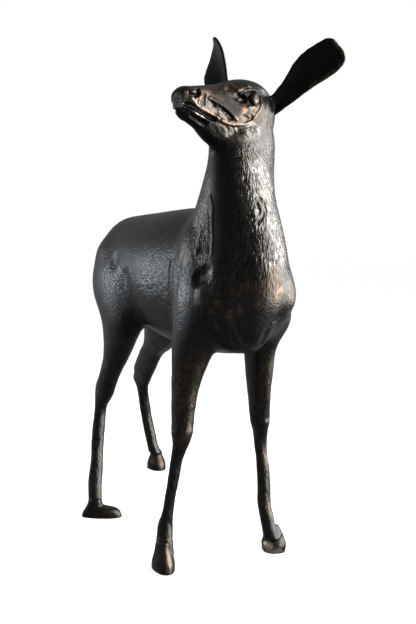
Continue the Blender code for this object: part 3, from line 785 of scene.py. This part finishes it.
def hair(mesh):
    """The modelled coat: locks on the neck, waves and pebbles on the trunk, rasped legs, hammered cheeks."""
    verts, normals = read_skin(mesh)
    x, y, z = verts.T
    on_head, neck, trunk, legs = regions(verts)
    local = head_places(verts)
    channel, strip = sleek(verts)
    calm = 0.45 + 0.55 * ramp(noise(verts / 0.09, 71), -0.4, 0.5)
    locks = neck * (1 - 0.9 * channel) * (1 - 0.8 * strip) * (1.2 - 0.6 * calm)
    locks *= 1 - 0.4 * ramp(x, -0.040, 0.000)
    behind_arm = ramp(-y, 0.04, 0.10) * (1 - ramp(-y, 0.26, 0.32)) * (1 - ramp(z, 0.74, 0.80))
    pebbled = (trunk + 1.75 * rough_cast(verts)) * (1 - 0.7 * ramp(z, 0.78, 0.84))
    shank = legs * ramp(z, 0.060, 0.100)
    hammered = np.zeros(len(verts))
    tree = look_up(verts)
    for name in ("sunk plate", "dish of the cheek"):
        line, radius, _ = FACE_FORMS[name]
        for places in laid_out(line, True):
            hammered = np.maximum(hammered, nearness(tree, len(verts), places, radius / 1000))
    pad = on_head * ramp(local[:, 0], 0.262, 0.276)
    jaw = on_head * (1 - ramp(local[:, 2], -0.055, -0.045)) * ramp(local[:, 0], 0.05, 0.08) * (1 - pad)
    along, across, up = local.T
    slanted = np.stack([0.8 * along + 0.6 * up, across, 0.8 * up - 0.6 * along], axis=1)
    ears = ramp(np.abs(across), 0.070, 0.090) * ramp(z, 1.13, 1.17)

    # layers of the coat: how high in metres, where, and the pattern with its size and its seed
    layers = (
        (0.00042, neck * strip, pebbles(verts, 0.0062, 31)),
        (0.00065, locks, strands(verts, (0.0068, 0.0068, 0.024), 11)),
        (0.00060, trunk * behind_arm * calm, strands(verts, (0.010, 0.026, 0.0080), 23)),
        (0.00020, pebbled, pebbles(verts, 0.0080, 29)),
        (0.00055, shank * (1 - 0.6 * ramp(z, 0.36, 0.44)), strands(verts, (0.0075, 0.0075, 0.034), 37)),
        (0.00090, legs, noise(verts / 0.030, 41)),
        (0.00040, legs - shank, pebbles(verts, 0.0090, 67)),
        (0.00240, hammered, pebbles(verts, 0.0090, 43)),
        (0.00055, pad, pebbles(verts, 0.0055, 47)),
        (0.00130, jaw, strands(slanted, (0.026, 0.010, 0.0080), 53)),
        (0.00025, on_head * (1 - jaw), pebbles(verts, 0.012, 59)),
        (0.00030, ears, strands(verts, (0.0050, 0.0050, 0.030), 61)),
    )
    height = sum(high * where * pattern for high, where, pattern in layers)
    write_skin(mesh, verts + height[:, None] * normals)


def reworked(mesh, change):
    """The mesh with its edges and faces changed, and faces of more than four sides cut up."""
    bm = bmesh.new()
    bm.from_mesh(mesh)
    change(bm)
    bmesh.ops.triangulate(bm, faces=[face for face in bm.faces if len(face.verts) > 4])
    bm.to_mesh(mesh)
    bm.free()


def finer_head(bm):
    """Twice the grain on the head, for the eyes and the mouth."""
    inverse = HEAD_FRAME.inverted()
    edges = []
    for edge in bm.edges:
        middle = inverse @ ((edge.verts[0].co + edge.verts[1].co) / 2)
        if 0.02 < middle.x < 0.30 and abs(middle.y) < 0.075 and -0.09 < middle.z < 0.06:
            edges.append(edge)
    bmesh.ops.subdivide_edges(bm, edges=edges, cuts=1, use_grid_fill=True, smooth=0.0)


def level_soles(bm):
    """The hooves cut off flat at the ground."""
    geometry = bm.verts[:] + bm.edges[:] + bm.faces[:]
    cut = bmesh.ops.bisect_plane(bm, geom=geometry, plane_co=(0, 0, 0), plane_no=(0, 0, -1), clear_outer=True)
    rim = [item for item in cut["geom_cut"] if isinstance(item, bmesh.types.BMEdge)]
    bmesh.ops.holes_fill(bm, edges=rim)


def thin_out(obj):
    """Down to the triangle budget, flat stretches first."""
    faces = sum(len(polygon.vertices) - 2 for polygon in obj.data.polygons)
    thin = obj.modifiers.new("fewer faces", "DECIMATE")
    thin.ratio = min(1, TRIANGLES / faces)
    bpy.ops.object.modifier_apply(modifier=thin.name)


def clouds(verts, seed, coarse, fine, fine_share, low, high):
    """Patches from 0 to 1, drawn by noise of two sizes, the finer one at its own share."""
    return ramp(noise(verts / coarse, seed) + fine_share * noise(verts / fine, seed + 1), low, high)


def laid_tones(verts, tree):
    """How much bronze, bare metal and soot the tables lay on each point, painted shade and painted highlights
    among them.
    """
    tones = np.zeros((len(verts), 3))
    strokes = FACE_FORMS | FACE_STROKES | BODY_STROKES
    for table, on_face in ((FACE_TONES, True), (BODY_TONES, False)):
        for name, (line, radius, *amounts) in table.items():
            for places in laid_out(line or strokes[name][0], on_face):
                laid = ramp(nearness(tree, len(verts), places, radius / 1000), 0, 0.6)
                tones = np.maximum(tones, laid[:, None] * np.array(amounts))
    return tones.T


def metal_soot_and_shade(verts, normals, tree):
    """How much bronze, bare metal and soot with painted shade each point has, from the tables' tones and from
    masks of its own.
    """
    count = len(verts)
    y, z = verts[:, 1], verts[:, 2]
    on_head, neck, trunk, legs = regions(verts)
    off_head = 1 - on_head
    across = head_places(verts)[:, 1]
    bronze, bare, soot_and_shade = laid_tones(verts, tree)
    bare = bare * (1 - 0.85 * off_head * clouds(verts, 97, 0.0075, 0.0035, 0.5, -0.35, 0.45))
    # painted shade down the smooth channel on the right of the neck
    soot_and_shade = np.maximum(soot_and_shade, 0.65 * sleek(verts)[0] * neck * ramp(-y, 0.372, 0.410))

    # ears: painted shade in the bowls, with a brown lip on the left one, and painted shade over the outer
    # face of the right one
    for name, set_on in EARS.items():
        grid = ear_sheet(*set_on)
        until = len(grid) if name == "left ear" else EAR_MIDDLE // 2
        bowl = nearness(tree, count, [row[len(row) // 2] for row in grid[2:until]], 0.050)
        lip = nearness(tree, count, [row[0] for row in grid[EAR_MIDDLE:]] + grid[-1], 0.010, laid=False)
        soot_and_shade = np.maximum(soot_and_shade, ramp(bowl, 0, 0.3) * (1 - ramp(lip, 0.0, 0.3)) * ramp(z, 1.10, 1.16))
        if name == "left ear":
            bronze = np.maximum(bronze, 0.22 * ramp(lip, 0, 0.5))
        else:
            outside = ramp(np.abs(across), 0.066, 0.080) * (z > 1.16) * (across < 0)
            soot_and_shade = np.maximum(soot_and_shade, outside)
            bare = np.maximum(bare, 0.10 * outside * (1 - soot_and_shade))

    # mottles of bronze, most of them low on the breast, and clouds of soot that worn metal shows through
    low_breast = ramp(-y, 0.36, 0.42) * ramp(z, 0.54, 0.57) * (1 - ramp(z, 0.66, 0.74))
    mottle = clouds(verts, 91, 0.016, 0.006, 0.4, 0.40, 0.80)
    bronze = np.maximum(bronze, mottle * (0.08 * neck + 0.08 * legs + 0.30 * low_breast))
    cloudy = clouds(verts, 95, 0.024, 0.010, 0.5, 0.05, 0.70) * (neck + 0.5 * trunk + 0.4 * legs).clip(0, 1)
    soot_and_shade = np.maximum(soot_and_shade, 0.55 * cloudy * (1 - ramp(bare, 0.35, 0.6)))
    soot_and_shade = soot_and_shade * (1 - 0.8 * ramp(bronze, 0.5, 0.9)) * (1 - 0.9 * off_head * ramp(bare, 0.4, 0.8))
    stain = on_head * clouds(verts, 93, 0.0100, 0.0045, 0.7, 0.0, 0.55)
    stain = stain * (1 - ramp(bare, 0.3, 0.6)) * (1 - 0.5 * ramp(bronze, 0.4, 0.6))
    soot_and_shade = np.maximum(soot_and_shade, 0.75 * stain)

    # shade that stays under the body and in the fold of the flank
    below = ramp(-normals[:, 2], 0.25, 0.75) * (trunk + 0.5 * legs + 0.6 * neck).clip(0, 1)
    flank = ramp(nearness(tree, count, laid_out(FLANK_SHADE, False)[0], 0.070), 0, 0.7)
    return bronze, bare, np.maximum(soot_and_shade, np.maximum(0.4 * below, 0.6 * flank))


def write_layer(mesh, name, values):
    """A colour or a single value from 0 to 1 on every point, for the material to read."""
    kind, field = ("FLOAT_COLOR", "color") if values.ndim == 2 else ("FLOAT", "value")
    layer = mesh.attributes.new(name, kind, "POINT")
    layer.data.foreach_set(field, values.clip(0, 1).astype(np.float32).ravel())


def tone_the_skin(mesh):
    """The material's layers; tones hold bronze in red, bare metal in green, the upright hair, and soot with
    painted shade.
    """
    verts, normals = read_skin(mesh)
    z = verts[:, 2]
    on_head, neck, trunk, legs = regions(verts)
    channel, strip = sleek(verts)
    rough = rough_cast(verts)
    tree = look_up(verts)
    bronze, bare, soot_and_shade = metal_soot_and_shade(verts, normals, tree)
    write_layer(mesh, "tones", np.stack([bronze, bare, neck + legs, soot_and_shade], axis=1))

    on_breast = neck * (1 - ramp(z, 0.68, 0.78))
    grain = 0.8 * neck * (1 - 0.8 * channel - 0.2 * strip) * (1 - 0.5 * on_breast)
    grain += 0.35 * trunk + 0.48 * legs * (0.6 + 0.4 * ramp(z, 0.060, 0.100))
    grain = np.maximum(grain, 0.6 * rough) * (1 - on_head)
    grain += on_head * (0.2 + 0.4 * ramp(bare, 0.1, 0.4))
    write_layer(mesh, "grain", grain)

    along, _, up = head_places(verts).T
    jaw = on_head * (1 - ramp(up, -0.050, -0.040)) * ramp(along, 0.05, 0.08)
    # where bare-metal crumbs go: worn metal that also stands in for painted glints
    specks_and_glints = np.maximum(rough, np.maximum(0.7 * neck * strip, 0.5 * jaw)) * (1 - 0.8 * soot_and_shade)
    write_layer(mesh, "specks_and_glints", specks_and_glints)

    rubbed = np.zeros(len(verts))
    for line, radius, share in RUBBED_PLACES.values():
        places = laid_out(line, False)[0]
        rubbed = np.maximum(rubbed, share * nearness(tree, len(verts), places, radius / 1000))
    write_layer(mesh, "rubbed", rubbed)

    blotch = clouds(verts, 51, 0.06, 0.02, 0.5, -0.5, 0.7)
    warmth = (on_head + 0.9 * neck + 0.55 * legs + 0.15 * trunk) * (0.4 + 0.6 * blotch)
    write_layer(mesh, "warmth", warmth)


# ---- finish --------------------------------------------------------------------------------------
def settle(tree, made, *sockets, **values):
    """A shader node with sockets linked to its first inputs, and others set or linked by name."""
    for socket, into in zip(sockets, made.inputs):
        tree.links.new(socket, into)
    for name, value in values.items():
        if hasattr(made, name):
            setattr(made, name, value)
            continue
        into = made.inputs[name.replace("_", " ")]
        if isinstance(value, bpy.types.NodeSocket):
            tree.links.new(value, into)
        else:
            into.default_value = value
    return made


def node(tree, kind, *sockets, **values):
    """A new shader node, set and linked in the same way."""
    return settle(tree, tree.nodes.new(kind), *sockets, **values)


def speckle(tree, place, scale, detail):
    """The height of a noise texture."""
    return node(tree, "ShaderNodeTexNoise", Vector=place, Scale=scale, Detail=detail).outputs["Fac"]


def spread(tree, value, low, high, to_low, to_high, kind="LINEAR"):
    """A value's range from low to high laid over another range."""
    made = node(tree, "ShaderNodeMapRange", value, interpolation_type=kind, From_Min=low, From_Max=high)
    return settle(tree, made, To_Min=to_low, To_Max=to_high).outputs["Result"]


def times(tree, first, second):
    """Two values multiplied."""
    return node(tree, "ShaderNodeMath", first, second, operation="MULTIPLY").outputs["Value"]


def mixed(tree, share, first, second):
    """Two colours, each a socket or plain numbers, mixed by a share."""
    mix = node(tree, "ShaderNodeMix", share, data_type="RGBA")
    for slot, colour in zip([s for s in mix.inputs if s.type == "RGBA"], (first, second)):
        if isinstance(colour, bpy.types.NodeSocket):
            tree.links.new(colour, slot)
        else:
            slot.default_value = (*colour, 1)
    return next(s for s in mix.outputs if s.type == "RGBA")


def patina():
    """Near-black patina over cast aluminium, rubbed to brown bronze and to bare metal on the high places,
    with painted shade, highlights and glints laid into its colour.
    """
    material = bpy.data.materials.new("patinated aluminium")
    material.use_nodes = True
    tree = material.node_tree
    place = node(tree, "ShaderNodeTexCoord").outputs["Object"]
    layers = {}
    for name in ("tones", "warmth", "grain", "specks_and_glints", "rubbed"):
        layers[name] = node(tree, "ShaderNodeAttribute", attribute_name=name).outputs
    split = node(tree, "ShaderNodeSeparateColor", layers["tones"]["Color"]).outputs
    grain = layers["grain"]["Fac"]

    # fine hair: short upright strokes on neck and legs, a pebbly grain elsewhere
    strokes = []
    for stretch, scale in FINE_HAIR:
        lay = node(tree, "ShaderNodeMapping", Vector=place, Scale=stretch)
        strokes.append(speckle(tree, lay.outputs["Vector"], scale, 2.0))
    upright, pebbly = strokes
    either = node(tree, "ShaderNodeMix", data_type="FLOAT", Factor=split["Blue"], A=pebbly, B=upright)
    fine = either.outputs["Result"]

    # colour: patina cool to warm, bronze, bare metal, and soot with painted shade, then bright bare-metal
    # crumbs where the cast is rough, which also stand in for painted glints, the rubbed hooves, and all of it
    # darker in the hollows of the fine hair
    skin = mixed(tree, layers["warmth"]["Fac"], COOL_PATINA, WARM_PATINA)
    skin = mixed(tree, split["Red"], skin, BRONZE)
    skin = mixed(tree, split["Green"], skin, BARE_METAL)
    skin = mixed(tree, layers["tones"]["Alpha"], skin, SOOT_AND_SHADE)
    # bare-metal crumbs, worn metal and painted glints at once
    crumbs_and_glints = spread(tree, speckle(tree, place, 250.0, 1.5), 0.53, 0.75, 0, 1, "SMOOTHSTEP")
    skin = mixed(tree, times(tree, crumbs_and_glints, layers["specks_and_glints"]["Fac"]), skin, BARE_METAL)
    skin = mixed(tree, layers["rubbed"]["Fac"], skin, RUBBED)
    hollow = spread(tree, fine, 0.30, 0.62, 0.25, 1.45, "SMOOTHSTEP")
    shade = node(tree, "ShaderNodeMix", data_type="FLOAT", Factor=grain, A=1.0, B=hollow)
    shaded = node(tree, "ShaderNodeVectorMath", skin, operation="SCALE", Scale=shade.outputs["Result"])

    # roughness: a cloudy polish, higher where the grain is strong
    polish = spread(tree, speckle(tree, place, 45.0, 4.0), 0, 1, *ROUGHNESS)
    rough = times(tree, polish, spread(tree, grain, 0, 1, 1.0, GRAIN_POLISH))
    bump = node(tree, "ShaderNodeBump", Distance=BUMP_DEPTH, Strength=grain, Height=fine)
    shader = settle(tree, tree.nodes["Principled BSDF"], Metallic=1.0, Roughness=rough)
    settle(tree, shader, Base_Color=shaded.outputs["Vector"], Normal=bump.outputs["Normal"])
    return material


def plain_floor():
    """A wide pale floor."""
    bpy.ops.mesh.primitive_plane_add(size=FLOOR_SIZE, location=(0, 0, -FLOOR_DROP))
    floor = bpy.context.object
    floor.name = "floor"
    floor.visible_glossy = False
    material = bpy.data.materials.new("pale floor")
    material.use_nodes = True
    shader = material.node_tree.nodes["Principled BSDF"]
    settle(material.node_tree, shader, Base_Color=(0.30, 0.30, 0.30, 1), Roughness=0.9)
    settle(material.node_tree, shader, Emission_Color=(1, 1, 1, 1), Emission_Strength=FLOOR_GLOW)
    floor.data.materials.append(material)


# ---- light and camera ----------------------------------------------------------------------------
def soft_box(name, place, aim, size, power, colour):
    """A rectangular studio light."""
    light = bpy.data.lights.new(name, "AREA")
    light.shape = "RECTANGLE"
    light.size, light.size_y = size
    light.energy = power
    light.color = colour
    obj = new_object(name, light)
    obj.location = place
    obj.visible_camera = False
    obj.rotation_euler = (Vector(aim) - Vector(place)).to_track_quat("-Z", "Y").to_euler()


def studio():
    """A large window off the doe's left front, three dim ones on the camera's left, and dim surroundings."""
    turn = Matrix.Rotation(radians(CAMERA_AZIMUTH), 3, "Z")
    for name, across, away, up, size, power, colour in LIGHTS:
        place = CHEST + turn @ Vector((across, away, up))
        soft_box(name, place, CHEST, size, power, colour)
    world = bpy.data.worlds.new("studio")
    world.use_nodes = True
    tree = world.node_tree
    dim = settle(tree, tree.nodes["Background"], Color=(0.94, 0.97, 1.0, 1), Strength=ROOM_GLOW)
    seen = node(tree, "ShaderNodeBackground", Color=(1, 1, 1, 1), Strength=1.0)
    seen_by = node(tree, "ShaderNodeLightPath").outputs["Is Camera Ray"]
    mix = node(tree, "ShaderNodeMixShader", seen_by, dim.outputs["Background"], seen.outputs["Background"])
    tree.links.new(mix.outputs["Shader"], tree.nodes["World Output"].inputs["Surface"])
    bpy.context.scene.world = world
    bpy.context.scene.view_settings.view_transform = "Standard"


def camera():
    """The camera, as high as the doe's back."""
    data = bpy.data.cameras.new("camera")
    data.lens = CAMERA_LENS
    data.sensor_width = CAMERA_SENSOR
    obj = new_object("camera", data)
    obj.location = CAMERA_PLACE
    obj.rotation_euler = (radians(90 - CAMERA_DIP), 0, radians(CAMERA_AZIMUTH))
    bpy.context.scene.camera = obj


def cast_doe():
    """The whole doe as one skin, carved, haired, thinned and toned."""
    pieces = [trunk(), neck(), head()]
    pieces += [leg("fore right", FORE_RIGHT), leg("fore left", FORE_LEFT)]
    pieces += [leg("hind right", HIND_RIGHT), leg("hind left", HIND_LEFT)]
    pieces += [ball(name, *lump) for name, lump in MUSCLES.items()]
    pieces += [hoof(name, *stand) for name, stand in HOOVES.items()]
    pieces += [ear(name, *set_on) for name, set_on in EARS.items()]
    doe = fused(pieces)
    reworked(doe.data, finer_head)
    strike(doe.data, FACE_FORMS, on_face=True)
    set_eyes(doe.data)
    strike(doe.data, FACE_STROKES, on_face=True)
    strike(doe.data, BODY_STROKES, on_face=False)
    on_head = regions(read_skin(doe.data)[0])[0]
    calmed(doe, on_head, FACE_ROUNDS)
    hair(doe.data)
    reworked(doe.data, level_soles)
    thin_out(doe)
    tone_the_skin(doe.data)
    doe.data.transform(Matrix.Translation(MIDDLE))
    doe.name = doe.data.name = "cast_doe"
    doe.data.shade_smooth()
    doe.data.materials.clear()
    doe.data.materials.append(patina())
    return doe


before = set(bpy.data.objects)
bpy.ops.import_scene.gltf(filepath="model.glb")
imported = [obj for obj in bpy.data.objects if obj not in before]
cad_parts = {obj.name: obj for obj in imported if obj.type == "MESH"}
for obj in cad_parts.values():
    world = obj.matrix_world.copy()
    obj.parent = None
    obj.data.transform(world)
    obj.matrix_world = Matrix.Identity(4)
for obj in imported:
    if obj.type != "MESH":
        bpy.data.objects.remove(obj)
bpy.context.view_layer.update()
camera()
studio()
plain_floor()
doe = cast_doe()
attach(doe, "root")
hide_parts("doe")
